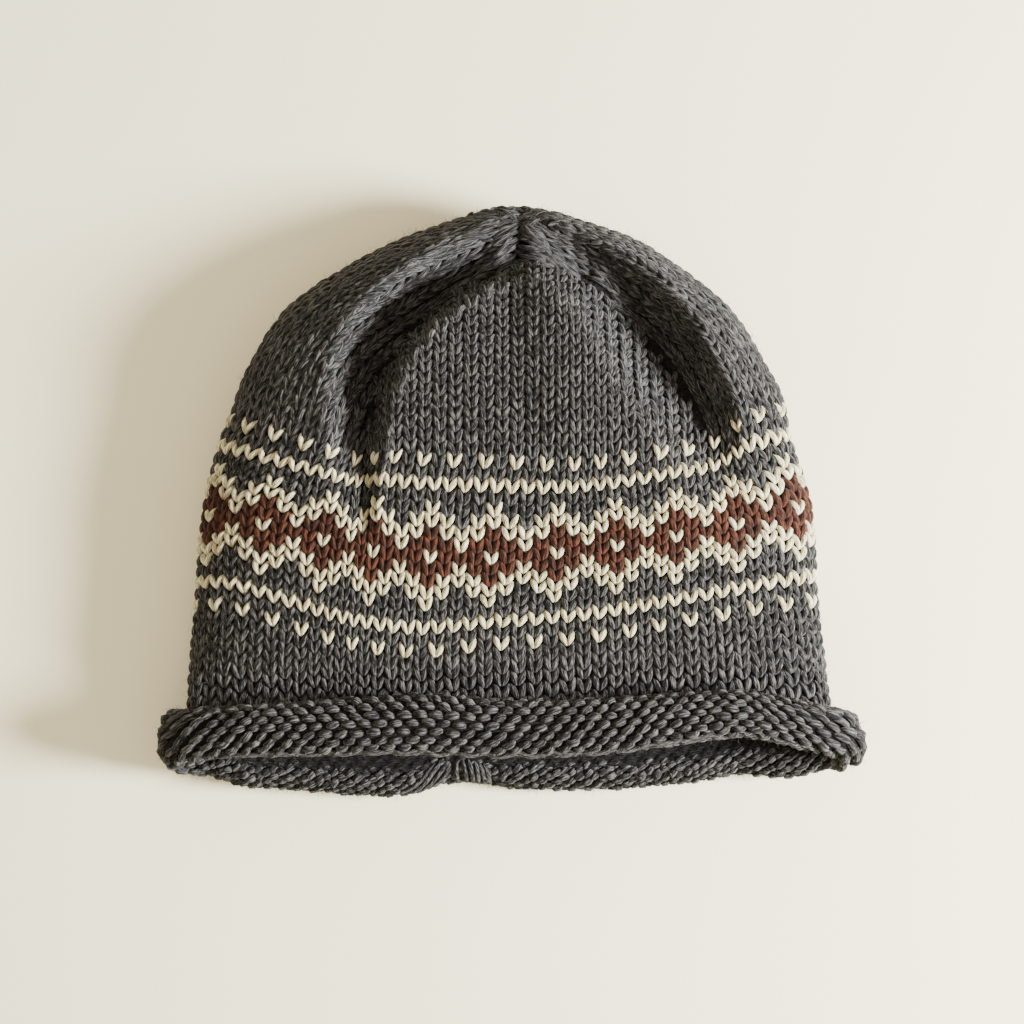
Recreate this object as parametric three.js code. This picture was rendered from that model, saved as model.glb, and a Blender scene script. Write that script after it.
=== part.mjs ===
// A knit beanie with a rolled brim, lying on its back: an empty hat whose front has sunk in
// round a fold. Millimetres, +Z up. The crown's tip points along +Y and the head opening
// faces -Y. Every wall is one thickness of worsted knitting, open at the brim.
import * as THREE from 'three';

// Driving sizes of the knitting
const WALL = 3.6; // thickness of the knitted fabric
const ROW = 4.0; // height of one knitted row
const ROWS = 56; // rows from the start of the roll to the tip of the crown
const BAND_ROWS = [11, 28]; // the patterned band lies between these rows
const GAP = 0.3; // space left between two neighbouring pieces
const CURL_GAP = 1.2; // space between the wall and the cloth that has rolled back onto it

// Driving sizes of the rolled brim
const ROLL_DEEP = 7.4; // half of the roll's section, measured through the cloth
const ROLL_TURN = 1.9 * Math.PI; // how far the cloth curls round
const JOIN = { x: -13, width: 7, pinch: 0.16 }; // where the ends of the brim are joined

// One row of the table for each place across the brim, from the left fold at -1 to the right
// fold at 1. front_y and back_y are where the roll's middle lies on the upper side and on the
// side that lies down, front_long and back_long half of its section, measured along the hat.
const ROLLS = [
  { across: -1, front_y: -78.2, front_long: 12.2, back_y: -78.2, back_long: 12.2 },
  { across: -0.96, front_y: -77.2, front_long: 11.5, back_y: -85.4, back_long: 8.5 },
  { across: -0.86, front_y: -76.2, front_long: 10.9, back_y: -88.4, back_long: 6.8 },
  { across: -0.66, front_y: -75.2, front_long: 11.2, back_y: -90.2, back_long: 6.4 },
  { across: -0.45, front_y: -74.3, front_long: 11.8, back_y: -92.0, back_long: 6.4 },
  { across: -0.29, front_y: -73.8, front_long: 12.3, back_y: -91.0, back_long: 6.4 },
  { across: -0.21, front_y: -73.9, front_long: 12.3, back_y: -88.2, back_long: 6.4 },
  { across: -0.11, front_y: -74.3, front_long: 12.0, back_y: -88.7, back_long: 6.2 },
  { across: 0.02, front_y: -74.7, front_long: 11.8, back_y: -89.7, back_long: 6.4 },
  { across: 0.3, front_y: -73.9, front_long: 11.4, back_y: -89.8, back_long: 6.4 },
  { across: 0.58, front_y: -71.6, front_long: 10.7, back_y: -87.5, back_long: 6.4 },
  { across: 0.7, front_y: -71.2, front_long: 10.0, back_y: -85.1, back_long: 6.3 },
  { across: 0.88, front_y: -74.2, front_long: 10.3, back_y: -85.6, back_long: 7.6 },
  { across: 0.96, front_y: -76.4, front_long: 10.8, back_y: -83.6, back_long: 8.6 },
  { across: 1, front_y: -78.6, front_long: 11.4, back_y: -78.6, back_long: 11.4 },
];

// Mesh steps
const AROUND = 64;
const STEPS = { side_wall: 5, colourwork_band: 7, crown: 16 };
const ROLL_STEPS = 9;
const SECTION_SAMPLES = 48;

// One row of the table for each section of the hat, from the brim up. left, left_y, right
// and right_y are where the side folds lie, middle_y is where the knitted row crosses the
// centre line, side, top and bottom are heights, and square tells how full the section is
// (2 is an ellipse). peak, left_fall and right_fall give the droop of a knitted row: where
// it hangs lowest across the width, and how quickly it rises to the two folds.
const SECTIONS = [
  { row: 0, left: -108.0, left_y: -81.3, right: 107.6, right_y: -80.0, middle_y: -97.0,
    side: 18.9, top: 28.0, bottom: 9.9, square: 14, peak: -0.2, left_fall: 0.9, right_fall: 0.7 },
  { row: 5, left: -107.3, left_y: -61.3, right: 104.6, right_y: -60.0, middle_y: -75.0,
    side: 18.0, top: 33.0, bottom: 3.0, square: 7, peak: -0.22, left_fall: 2.0, right_fall: 1.3 },
  { row: 11.5, left: -105.7, left_y: -35.3, right: 102.0, right_y: -33.3, middle_y: -49.0,
    side: 18.0, top: 37.0, bottom: -1.0, square: 3.8, peak: -0.24, left_fall: 2.1, right_fall: 1.3 },
  { row: 19.5, left: -103.3, left_y: -4.3, right: 100.0, right_y: -1.0, middle_y: -19.0,
    side: 18.0, top: 39.0, bottom: -1.5, square: 3.3, peak: -0.1, left_fall: 1.6, right_fall: 1.1 },
  { row: 25.5, left: -98.3, left_y: 19.0, right: 93.3, right_y: 22.0, middle_y: 5.0,
    side: 18.5, top: 40.0, bottom: -1.5, square: 3.2, peak: 0, left_fall: 0.85, right_fall: 0.85 },
  { row: 28, left: -94.3, left_y: 29.3, right: 91.4, right_y: 32.7, middle_y: 15.0,
    side: 19.0, top: 40.5, bottom: -1.5, square: 3.5, peak: 0, left_fall: 0.75, right_fall: 0.75 },
  { row: 32, left: -87.8, left_y: 46.3, right: 84.4, right_y: 47.0, middle_y: 29.7,
    side: 19.5, top: 41.5, bottom: -1.5, square: 4.4, peak: 0, left_fall: 0.68, right_fall: 0.68 },
  { row: 37, left: -75.5, left_y: 65.0, right: 73.6, right_y: 64.3, middle_y: 46.3,
    side: 20.0, top: 42.0, bottom: -1.5, square: 4.8, peak: 0, left_fall: 0.6, right_fall: 0.6 },
  { row: 42, left: -57.9, left_y: 77.7, right: 57.8, right_y: 77.7, middle_y: 62.0,
    side: 20.5, top: 41.5, bottom: -1.0, square: 4.6, peak: 0, left_fall: 0.58, right_fall: 0.58 },
  { row: 47, left: -38.6, left_y: 87.8, right: 40.6, right_y: 88.5, middle_y: 76.4,
    side: 21.0, top: 39.5, bottom: 1.0, square: 3.8, peak: 0, left_fall: 0.55, right_fall: 0.55 },
  { row: 51, left: -20.4, left_y: 94.7, right: 24.0, right_y: 94.2, middle_y: 87.0,
    side: 21.5, top: 36.0, bottom: 7.0, square: 2.8, peak: 0, left_fall: 0.5, right_fall: 0.5 },
  { row: 54, left: -7.6, left_y: 97.9, right: 12.6, right_y: 97.6, middle_y: 94.3,
    side: 22.0, top: 30.5, bottom: 14.5, square: 2, peak: 0, left_fall: 0.5, right_fall: 0.5 },
  { row: 56, left: 2.7, left_y: 98.6, right: 2.7, right_y: 98.6, middle_y: 98.6,
    side: 22.5, top: 22.5, bottom: 22.5, square: 2, peak: 0, left_fall: 0.5, right_fall: 0.5 },
];

// The valley that the sunken front leaves inside the puffed rim of the crown. It runs up
// the left, under the tip and down the right; rim and panel are its half widths towards the
// rim and towards the middle panel. The left side ends at the panel in a sharp crease.
const VALLEY = [
  { x: -48, y: -14, depth: 0.5, rim: 8, panel: 5 },
  { x: -48, y: 8, depth: 4, rim: 13, panel: 6 },
  { x: -47, y: 24, depth: 12, rim: 15, panel: 7 },
  { x: -44.5, y: 42, depth: 17.5, rim: 16, panel: 9 },
  { x: -34, y: 58.5, depth: 19.2, rim: 15, panel: 10 },
  { x: -15, y: 73, depth: 15, rim: 13, panel: 9.5 },
  { x: 6, y: 79.5, depth: 8, rim: 12, panel: 9 },
  { x: 26, y: 74, depth: 11, rim: 14, panel: 16 },
  { x: 43, y: 60, depth: 19.5, rim: 14, panel: 22 },
  { x: 54.5, y: 44, depth: 20.5, rim: 13, panel: 23 },
  { x: 62.5, y: 27, depth: 12.5, rim: 14, panel: 20 },
  { x: 69, y: 8, depth: 3, rim: 12, panel: 14 },
  { x: 73, y: -6, depth: 0.3, rim: 10, panel: 11 },
];

// The decreases gather the crown in eight wedges, with a groove between each two of them
const WEDGES = 8;
const GATHER = { depth: 1.7, from_row: 38 };

const FABRIC = { charcoal: 0x4a4744, pattern: 0x8f8574 };

// A value of one column of a table between its rows, on a smooth curve
function smooth(table, key, along, at) {
  const last = table.length - 1;
  let i = 0;
  while (i < last - 1 && table[i + 1][along] < at) {
    i += 1;
  }
  const slope = (a, b) => (table[b][key] - table[a][key]) / (table[b][along] - table[a][along]);
  const span = table[i + 1][along] - table[i][along];
  const t = (at - table[i][along]) / span;
  const rise = slope(i, i + 1);
  const start = i > 0 ? (slope(i - 1, i) + rise) / 2 : rise;
  const end = i < last - 1 ? (rise + slope(i + 1, i + 2)) / 2 : rise;
  const t2 = t * t;
  const t3 = t2 * t;
  return table[i][key] * (2 * t3 - 3 * t2 + 1) + table[i + 1][key] * (3 * t2 - 2 * t3)
    + span * (start * (t3 - 2 * t2 + t) + end * (t3 - t2));
}

// The valley's line, in short even steps
const valleyLine = [];
for (let i = 0; i < VALLEY.length; i += 1) {
  VALLEY[i].step = i;
}
for (let at = 0; at <= VALLEY.length - 1; at += 0.125) {
  const point = {};
  for (const key of ['x', 'y', 'depth', 'rim', 'panel']) {
    point[key] = smooth(VALLEY, key, 'step', at);
  }
  valleyLine.push(point);
}

// How far the front has sunk at a place in the plan, by its nearest place on the line
function sunk(x, y) {
  let best = Infinity;
  let depth = 0;
  for (let i = 0; i < valleyLine.length - 1; i += 1) {
    const from = valleyLine[i];
    const to = valleyLine[i + 1];
    const run_x = to.x - from.x;
    const run_y = to.y - from.y;
    const along = ((x - from.x) * run_x + (y - from.y) * run_y) / (run_x ** 2 + run_y ** 2);
    const t = Math.min(Math.max(along, 0), 1);
    const mix = (key) => from[key] + (to[key] - from[key]) * t;
    const far = Math.hypot(x - mix('x'), y - mix('y'));
    if (far < best) {
      best = far;
      const side = run_x * (y - from.y) - run_y * (x - from.x);
      const part = Math.min(far / mix(side > 0 ? 'rim' : 'panel'), 1);
      depth = mix('depth') * (1 - part * part) ** 2;
    }
  }
  return depth;
}

// All columns of the section table at one row
function sectionAt(row) {
  const section = {};
  for (const key of Object.keys(SECTIONS[0])) {
    section[key] = smooth(SECTIONS, key, 'row', row);
  }
  section.middle = (section.left + section.right) / 2;
  section.half = (section.right - section.left) / 2;
  return section;
}

// The section's outline at an angle: across goes from 1 at the right fold to -1 at the left
function outline(section, angle) {
  const across = Math.cos(angle);
  const swell = Math.sqrt(Math.max(1 - Math.abs(across) ** section.square, 0));
  const front = Math.sin(angle) >= 0;
  const height = (front ? section.top : section.bottom) - section.side;
  return { across, front, swell, z: section.side + height * swell ** (front ? 1 : 0.8) };
}

// The place a share of the way round, even steps along the front and along the back
function roundPlace(section, share) {
  const half = share < 0.5 ? 0 : 1;
  const wanted = (share - half / 2) * 2;
  const places = [];
  let length = 0;
  for (let i = 0; i <= SECTION_SAMPLES; i += 1) {
    const angle = Math.PI * (half + i / SECTION_SAMPLES);
    const place = outline(section, angle);
    const x = place.across * section.half;
    if (i > 0) {
      length += Math.hypot(x - places[i - 1].x, place.z - places[i - 1].z);
    }
    places.push({ x, z: place.z, length, angle });
  }
  let i = 1;
  while (i < SECTION_SAMPLES && places[i].length < wanted * length) {
    i += 1;
  }
  const step = places[i].length - places[i - 1].length;
  const t = step > 0 ? (wanted * length - places[i - 1].length) / step : 0;
  return outline(section, places[i - 1].angle + t * (places[i].angle - places[i - 1].angle));
}

// How far across a knitted row droops: 1 at its lowest place, 0 at the folds
function droop(section, across) {
  const moved = (across - section.peak) / (1 - section.peak * across);
  const fall = moved < 0 ? section.left_fall : section.right_fall;
  return Math.max(1 - moved * moved, 0) ** fall;
}

// A point of the outer face, for a share of the way round and a knitted row
function facePoint(share, row) {
  const section = sectionAt(row);
  const place = roundPlace(section, ((share % 1) + 1) % 1);
  const x = section.middle + place.across * section.half;
  const fold_y = section.left_y + (section.right_y - section.left_y) * (place.across + 1) / 2;
  const middle_fold_y = (section.left_y + section.right_y) / 2;
  const y = fold_y + (section.middle_y - middle_fold_y) * droop(section, place.across);
  const gathered = Math.max(row - GATHER.from_row, 0) / (ROWS - GATHER.from_row);
  const groove = GATHER.depth * gathered * (1 - gathered) * 4 * Math.cos(Math.PI * WEDGES * share) ** 6;
  let z = place.z;
  if (place.front) {
    z -= sunk(x, y) * Math.min(place.swell * 1.6, 1) + groove * place.swell;
  }
  return new THREE.Vector3(x, y, Math.max(z, 0));
}

// A column of the roll table, a share of the way round
function rollAt(share, key) {
  const place = roundPlace(sectionAt(0), ((share % 1) + 1) % 1);
  return smooth(ROLLS, `${place.front ? 'front' : 'back'}_${key}`, 'across', place.across);
}

// The row at which the cloth starts to roll, a share of the way round
function lipRow(share) {
  const lip = rollAt(share, 'y');
  let row = 0;
  for (let i = 0; i < 4; i += 1) {
    row += (lip - facePoint(share, row).y) / ROW;
  }
  return Math.max(row, 0);
}

const lipRows = [];
for (let i = 0; i < AROUND; i += 1) {
  lipRows.push(lipRow(i / AROUND));
}

// A point of the outer face by mesh column; below the band, the rows spread from the lip
function columnPoint(column, row) {
  const lip = lipRows[((column % AROUND) + AROUND) % AROUND];
  const knitted = row < BAND_ROWS[0] ? lip + row * (1 - lip / BAND_ROWS[0]) : row;
  return facePoint(column / AROUND, knitted);
}

// The outward direction at a column and row
function outward(column, row) {
  const along = columnPoint(column, Math.min(row + 0.3, ROWS - 0.2));
  along.sub(columnPoint(column, Math.max(Math.min(row, ROWS - 0.5) - 0.3, 0)));
  const round = columnPoint(column + 1, Math.min(row, ROWS - 0.5));
  round.sub(columnPoint(column - 1, Math.min(row, ROWS - 0.5)));
  return along.cross(round).normalize();
}

// A closed mesh from rings of points that all run the same way round. Each face with four
// corners is split along its shorter diagonal, so facing ends of two pieces split alike
function ringsToGeometry(rings, closed_path, poles) {
  const count = rings[0].length;
  const points = rings.flat();
  const faces = [];
  const last = closed_path ? rings.length : rings.length - 1;
  for (let i = 0; i < last; i += 1) {
    const next = (i + 1) % rings.length;
    for (let j = 0; j < count; j += 1) {
      const k = (j + 1) % count;
      const a = i * count + j;
      const b = next * count + j;
      const c = next * count + k;
      const d = i * count + k;
      if (points[a].distanceTo(points[c]) < points[b].distanceTo(points[d])) {
        faces.push(a, b, c, a, c, d);
      } else {
        faces.push(a, b, d, b, c, d);
      }
    }
  }
  if (poles) {
    const first = points.length;
    points.push(poles[0], poles[1]);
    const end = (rings.length - 1) * count;
    for (let j = 0; j < count; j += 1) {
      const k = (j + 1) % count;
      faces.push(first, j, k);
      faces.push(first + 1, end + k, end + j);
    }
  }
  const geometry = new THREE.BufferGeometry();
  const flat = points.flatMap((point) => [point.x, point.y, point.z]);
  geometry.setAttribute('position', new THREE.Float32BufferAttribute(flat, 3));
  geometry.setIndex(faces);
  geometry.computeVertexNormals();
  return geometry;
}

// A ring of points at a depth in the cloth. On both sides of a joint between two pieces the
// depth is measured the same way, so that their end faces stay parallel
function ring(row, depth) {
  const joint = BAND_ROWS.find((edge) => Math.abs(edge - row) < GAP / ROW);
  const points = [];
  for (let column = 0; column < AROUND; column += 1) {
    const point = columnPoint(column, row);
    points.push(point.addScaledVector(outward(column, joint ?? row), -depth));
  }
  return points;
}

// A knitted wall between two rows, as thick as the cloth; a cap closes at the tip
function knittedWall(from, to, steps, cap) {
  const outer = [];
  const inner = [];
  for (let i = 0; i <= steps; i += 1) {
    const row = from + (to - from) * i / steps;
    outer.push(ring(row, 0));
    inner.push(ring(row, WALL));
  }
  if (!cap) {
    return ringsToGeometry([...outer, ...inner.reverse()], true, null);
  }
  const tip = columnPoint(0, ROWS);
  const under = tip.clone();
  under.y -= WALL;
  return ringsToGeometry([...inner.reverse(), ...outer], false, [under, tip]);
}

// The rolled brim: the cloth curls outwards in one turn, so its section is a spiral ribbon
function rolledBrim() {
  const columns = [];
  for (let column = 0; column < AROUND; column += 1) {
    const lip = columnPoint(column, 0);
    const up = columnPoint(column, 2).sub(lip).normalize();
    const out = outward(column, 1);
    out.addScaledVector(up, -out.dot(up)).normalize();
    const back = out.z < 0;
    const from_join = back ? (lip.x - JOIN.x) / JOIN.width : Infinity;
    const pinch = 1 - JOIN.pinch * Math.exp(-from_join * from_join);
    const roll_long = rollAt(column / AROUND, 'long');
    const middle = lip.clone().addScaledVector(out, ROLL_DEEP * pinch - WALL);
    const ribbon = [];
    for (let side = 0; side < 2; side += 1) {
      for (let i = 0; i <= ROLL_STEPS; i += 1) {
        const turn = ROLL_TURN * (side ? ROLL_STEPS - i : i) / ROLL_STEPS;
        const less = (WALL + CURL_GAP) * turn / (2 * Math.PI) + side * WALL;
        const deep = ROLL_DEEP * pinch - less;
        const long = roll_long * pinch - less;
        const point = middle.clone().addScaledVector(out, -deep * Math.cos(turn));
        point.addScaledVector(up, -long * Math.sin(turn));
        point.z = Math.max(point.z, 0);
        ribbon.push(point);
      }
    }
    columns.push(ribbon);
  }
  const rings = columns[0].map((_, i) => columns.map((ribbon) => ribbon[i]));
  return ringsToGeometry(rings, true, null);
}

function knitMaterial(name, colour) {
  return new THREE.MeshStandardMaterial({ name, color: colour, roughness: 0.95, metalness: 0 });
}

const hat = new THREE.Group();
hat.name = 'knit_hat';
const charcoal = knitMaterial('charcoal_wool', FABRIC.charcoal);
const pattern = knitMaterial('patterned_wool', FABRIC.pattern);
const inset = GAP / ROW / 2;
const pieces = [
  ['rolled_brim', rolledBrim(), charcoal],
  ['side_wall', knittedWall(2 * GAP / ROW, BAND_ROWS[0] - inset, STEPS.side_wall, false), charcoal],
  ['colourwork_band',
    knittedWall(BAND_ROWS[0] + inset, BAND_ROWS[1] - inset, STEPS.colourwork_band, false), pattern],
  ['crown', knittedWall(BAND_ROWS[1] + inset, ROWS - 0.7, STEPS.crown, true), charcoal],
];
for (const [name, geometry, material] of pieces) {
  const mesh = new THREE.Mesh(geometry, material);
  mesh.name = name;
  hat.add(mesh);
}

export default hat;
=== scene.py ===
# %% [markdown]
# # A knitted beanie, stitch by stitch
# The hat lies on its back on a pale table, its opening towards us and its crown fallen in.
# The real one is one long tube of loops, worked round and round, so this lesson builds a
# smooth surface that says where the cloth lies, and then sets every loop of yarn on it.

# %% Load the solid frame
import math

import bpy
import numpy as np
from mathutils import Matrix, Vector


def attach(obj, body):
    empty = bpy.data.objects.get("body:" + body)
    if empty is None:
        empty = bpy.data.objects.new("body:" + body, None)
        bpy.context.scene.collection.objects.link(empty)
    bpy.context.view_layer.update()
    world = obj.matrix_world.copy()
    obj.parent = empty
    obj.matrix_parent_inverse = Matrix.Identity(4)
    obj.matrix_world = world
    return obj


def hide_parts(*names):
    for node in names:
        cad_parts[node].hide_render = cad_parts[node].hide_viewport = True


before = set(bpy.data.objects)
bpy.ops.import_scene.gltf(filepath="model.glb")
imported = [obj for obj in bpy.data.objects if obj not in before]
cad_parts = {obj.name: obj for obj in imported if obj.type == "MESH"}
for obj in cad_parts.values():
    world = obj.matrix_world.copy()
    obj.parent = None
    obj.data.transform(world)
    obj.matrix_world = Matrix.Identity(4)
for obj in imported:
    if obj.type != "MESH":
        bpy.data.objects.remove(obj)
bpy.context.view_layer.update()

MM = 0.001
print("solid pieces:", sorted(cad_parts))

# %% [markdown]
# ## The sizes of the knitting
# Worsted wool at an everyday tension gives stitches 5 mm wide and rows 4 mm high. The table
# has one row for each section of the hat, from the brim up to the tip. It says where the two
# side folds lie, where the middle of the knitted row lies, how high the section stands and
# how its rows droop. All sizes are in millimetres, and are turned to metres once, at the end.

# %% Sizes and sections
WALL = 3.6
ROW = 4.0
ROWS = 56
BAND_ROWS = (11, 28)
STITCHES = 88
WEDGES = 8
STITCH_WIDTH = 5.0
GATHER_DEPTH, GATHER_FROM = 1.7, 38

SECTION_COLUMNS = ("row", "left", "left_y", "right", "right_y", "middle_y", "side", "top",
                   "bottom", "square", "peak", "left_fall", "right_fall")
SECTIONS = (
    (0, -108.0, -81.3, 107.6, -80.0, -97.0, 18.9, 28.0, 9.9, 14, -0.2, 0.9, 0.7),
    (5, -107.3, -61.3, 104.6, -60.0, -75.0, 18.0, 33.0, 3.0, 7, -0.22, 2.0, 1.3),
    (11.5, -105.7, -35.3, 102.0, -33.3, -49.0, 18.0, 37.0, -1.0, 3.8, -0.24, 2.1, 1.3),
    (19.5, -103.3, -4.3, 100.0, -1.0, -19.0, 18.0, 39.0, -1.5, 3.3, -0.1, 1.6, 1.1),
    (25.5, -98.3, 19.0, 93.3, 22.0, 5.0, 18.5, 40.0, -1.5, 3.2, 0, 0.85, 0.85),
    (28, -94.3, 29.3, 91.4, 32.7, 15.0, 19.0, 40.5, -1.5, 3.5, 0, 0.75, 0.75),
    (32, -87.8, 46.3, 84.4, 47.0, 29.7, 19.5, 41.5, -1.5, 4.4, 0, 0.68, 0.68),
    (37, -75.5, 65.0, 73.6, 64.3, 46.3, 20.0, 42.0, -1.5, 4.8, 0, 0.6, 0.6),
    (42, -57.9, 77.7, 57.8, 77.7, 62.0, 20.5, 41.5, -1.0, 4.6, 0, 0.58, 0.58),
    (47, -38.6, 87.8, 40.6, 88.5, 76.4, 21.0, 39.5, 1.0, 3.8, 0, 0.55, 0.55),
    (51, -20.4, 94.7, 24.0, 94.2, 87.0, 21.5, 36.0, 7.0, 2.8, 0, 0.5, 0.5),
    (54, -7.6, 97.9, 12.6, 97.6, 94.3, 22.0, 30.5, 14.5, 2, 0, 0.5, 0.5),
    (56, 2.7, 98.6, 2.7, 98.6, 98.6, 22.5, 22.5, 22.5, 2, 0, 0.5, 0.5),
)
VALLEY_COLUMNS = ("x", "y", "depth", "rim", "panel")
VALLEY = (
    (-48, -14, 0.5, 8, 5),
    (-48, 8, 4, 13, 6),
    (-47, 24, 12, 15, 7),
    (-44.5, 42, 17.5, 16, 9),
    (-34, 58.5, 19.2, 15, 10),
    (-15, 73, 15, 13, 9.5),
    (6, 79.5, 8, 12, 9),
    (26, 74, 11, 14, 16),
    (43, 60, 19.5, 14, 22),
    (54.5, 44, 20.5, 13, 23),
    (62.5, 27, 12.5, 14, 20),
    (69, 8, 3, 12, 14),
    (73, -6, 0.3, 10, 11),
)


def smooth(places, values, at):
    """The values between a table's rows, on a smooth curve."""
    places = np.asarray(places, float)
    values = np.asarray(values, float)
    at = np.asarray(at, float)
    slope = np.diff(values) / np.diff(places)
    tangent = np.concatenate([slope[:1], (slope[:-1] + slope[1:]) / 2, slope[-1:]])
    i = np.clip(np.searchsorted(places, at, "right") - 1, 0, len(places) - 2)
    span = places[i + 1] - places[i]
    t = (at - places[i]) / span
    return (values[i] * (2 * t**3 - 3 * t**2 + 1) + values[i + 1] * (3 * t**2 - 2 * t**3)
            + span * (tangent[i] * (t**3 - 2 * t**2 + t) + tangent[i + 1] * (t**3 - t**2)))


def section_at(row):
    """Every column of the section table at one row."""
    table = dict(zip(SECTION_COLUMNS, zip(*SECTIONS)))
    section = {key: float(smooth(table["row"], table[key], row)) for key in SECTION_COLUMNS}
    section["middle"] = (section["left"] + section["right"]) / 2
    section["half"] = (section["right"] - section["left"]) / 2
    return section


print("sections:", len(SECTIONS), "rows:", ROWS, "stitches round:", STITCHES)

# %% [markdown]
# ## Where the cloth lies
# A section is a flattened ring: it starts at the right fold, goes over the front to the left
# fold and comes back underneath. Loops are the same size all the way, so the ring is walked
# in even steps of its length. The front has then sunk into a valley that runs along inside
# the puffed rim; on the left it ends at the middle panel in a sharp crease.

# %% Walking round a section
HALF_STEPS = 96
BACK_SWELL = 0.8


def droop(section, across):
    """How far a knitted row hangs: 1 at its lowest place, 0 at the folds."""
    moved = (across - section["peak"]) / (1 - section["peak"] * across)
    fall = np.where(moved < 0, section["left_fall"], section["right_fall"])
    return np.maximum(1 - moved**2, 0) ** fall


def outline(section, turn, back):
    """Across, swell and height of the section at an angle."""
    flat = np.cos(turn)
    full = np.sqrt(np.maximum(1 - np.abs(flat) ** section["square"], 0))
    rise = section["bottom" if back else "top"] - section["side"]
    return flat, full, section["side"] + rise * full ** (BACK_SWELL if back else 1)


def half_ring(section, back=False):
    """Angles over the front or the back of a section, and the length walked to each."""
    angle = np.linspace(0, math.pi, HALF_STEPS + 1) + math.pi * back
    flat, _, height = outline(section, angle, back)
    steps = np.hypot(np.diff(flat * section["half"]), np.diff(height))
    return angle, np.concatenate([[0], np.cumsum(steps)])


def round_places(section, share):
    """Across, swell, height and side of the places a share of the way round."""
    found = np.empty((3, *share.shape))
    for back in (False, True):
        angle, length = half_ring(section, back)
        here = (share >= 0.5) == back
        wanted = (share[here] - back / 2) * 2 * length[-1]
        found[:, here] = outline(section, np.interp(wanted, length, angle), back)
    return *found, share < 0.5


print("length round the brim:", round(sum(half_ring(section_at(0), b)[1][-1] for b in (0, 1))), "mm")

# %% The sunk valley
VALLEY_STEP = 0.125


def beside_line(x, y, start, end):
    """For places in the plan: how far along a short straight line the nearest point of it is,
    as a share, how far away that is, and the side, which is above nought on the left."""
    run_x, run_y = end[0] - start[0], end[1] - start[1]
    off_x, off_y = x - start[0], y - start[1]
    t = np.clip((off_x * run_x + off_y * run_y) / (run_x**2 + run_y**2), 0, 1)
    return t, np.hypot(off_x - run_x * t, off_y - run_y * t), run_x * off_y - run_y * off_x


def dished(part):
    """The depth over a hollow: 1 in its middle and nought at its edge, level at both."""
    return (1 - np.minimum(part, 1) ** 2) ** 2


def valley_line():
    """The valley's line in short even steps."""
    at = np.arange(0, len(VALLEY) - 1 + VALLEY_STEP / 2, VALLEY_STEP)
    step = np.arange(len(VALLEY))
    return {key: smooth(step, column, at) for key, column in zip(VALLEY_COLUMNS, zip(*VALLEY))}


LINE = valley_line()


def sunk(x, y):
    """How far the front has sunk at places in the plan, by the nearest place on the line."""
    best = np.full(x.shape, np.inf)
    depth = np.zeros(x.shape)
    for i in range(len(LINE["x"]) - 1):
        start, end = ((LINE["x"][k], LINE["y"][k]) for k in (i, i + 1))
        t, far, side = beside_line(x, y, start, end)
        mix = {k: LINE[k][i] + (LINE[k][i + 1] - LINE[k][i]) * t
               for k in ("depth", "rim", "panel")}
        part = far / np.where(side > 0, mix["rim"], mix["panel"])
        nearer = far < best
        depth = np.where(nearer, mix["depth"] * dished(part), depth)
        best = np.where(nearer, far, best)
    return depth


print("deepest place of the valley:", LINE["depth"].max().round(1), "mm")

# %% [markdown]
# ## Puckers in the cloth
# Where the tip is drawn together the knitting puckers, the sunk panel bulges softly, and a
# faint ridge runs along the crease. The cloth also tucks in a little above the roll. Each is
# a groove, or a ridge where its depth is below nought, along a short line in the plan. They
# could be sculpted by hand, but a table keeps them easy to move.

# %% Puckers
PUCKER_COLUMNS = ("from_x", "from_y", "to_x", "to_y", "depth", "width")
PUCKERS = (
    (2.7, 96, 1.9, 80, 2.4, 3.0),
    (7, 92.5, 24, 76, 3.4, 6.5),
    (21, 87, 42, 68, 2.2, 4.5),
    (-1, 91.5, -15, 78, 3.0, 6.0),
    (16, 56, 22, 28, -2.4, 19),
    (-100, -64, 100, -62, 3, 9),
    (-47.8, 30, -47.6, -12, 1.3, 2.2),
    (3, 79, -9, 69.5, -1.2, 2.6),
    (-9, 69.5, -20, 60, -1.2, 2.6),
    (-20, 60, -31, 50.5, -0.9, 2.8),
)


def puckered(x, y):
    """How far the puckers sink the front at places in the plan."""
    total = np.zeros(x.shape)
    for row in PUCKERS:
        pucker = dict(zip(PUCKER_COLUMNS, row))
        start = pucker["from_x"], pucker["from_y"]
        _, far, _ = beside_line(x, y, start, (pucker["to_x"], pucker["to_y"]))
        total += pucker["depth"] * dished(far / pucker["width"])
    return total


print("puckers:", len(PUCKERS))

# %% Points of the outer face
GRID_STEP = 0.25
GRID_PER_STITCH = 6
HOLLOW_EDGE = 1.6
GROOVE_POWER = 6


def face_points(shares, rows):
    """A grid of points on the outer face, one line of the grid for each knitted row."""
    grid = np.empty((len(rows), len(shares), 3))
    for r, row in enumerate(rows):
        section = section_at(row)
        across, swell, z, front = round_places(section, shares)
        fold_y = section["left_y"] + (section["right_y"] - section["left_y"]) * (across + 1) / 2
        fold_middle = (section["left_y"] + section["right_y"]) / 2
        grid[r, :, 0] = section["middle"] + across * section["half"]
        grid[r, :, 1] = fold_y + (section["middle_y"] - fold_middle) * droop(section, across)
        gathered = max(row - GATHER_FROM, 0) / (ROWS - GATHER_FROM)
        groove = GATHER_DEPTH * gathered * (1 - gathered) * 4
        groove = groove * np.cos(math.pi * WEDGES * shares) ** GROOVE_POWER
        x, y = grid[r, :, 0], grid[r, :, 1]
        hollow = (sunk(x, y) + puckered(x, y)) * np.minimum(swell * HOLLOW_EDGE, 1)
        grid[r, :, 2] = np.maximum(z - np.where(front, hollow + groove * swell, 0), 0)
    return grid


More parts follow.
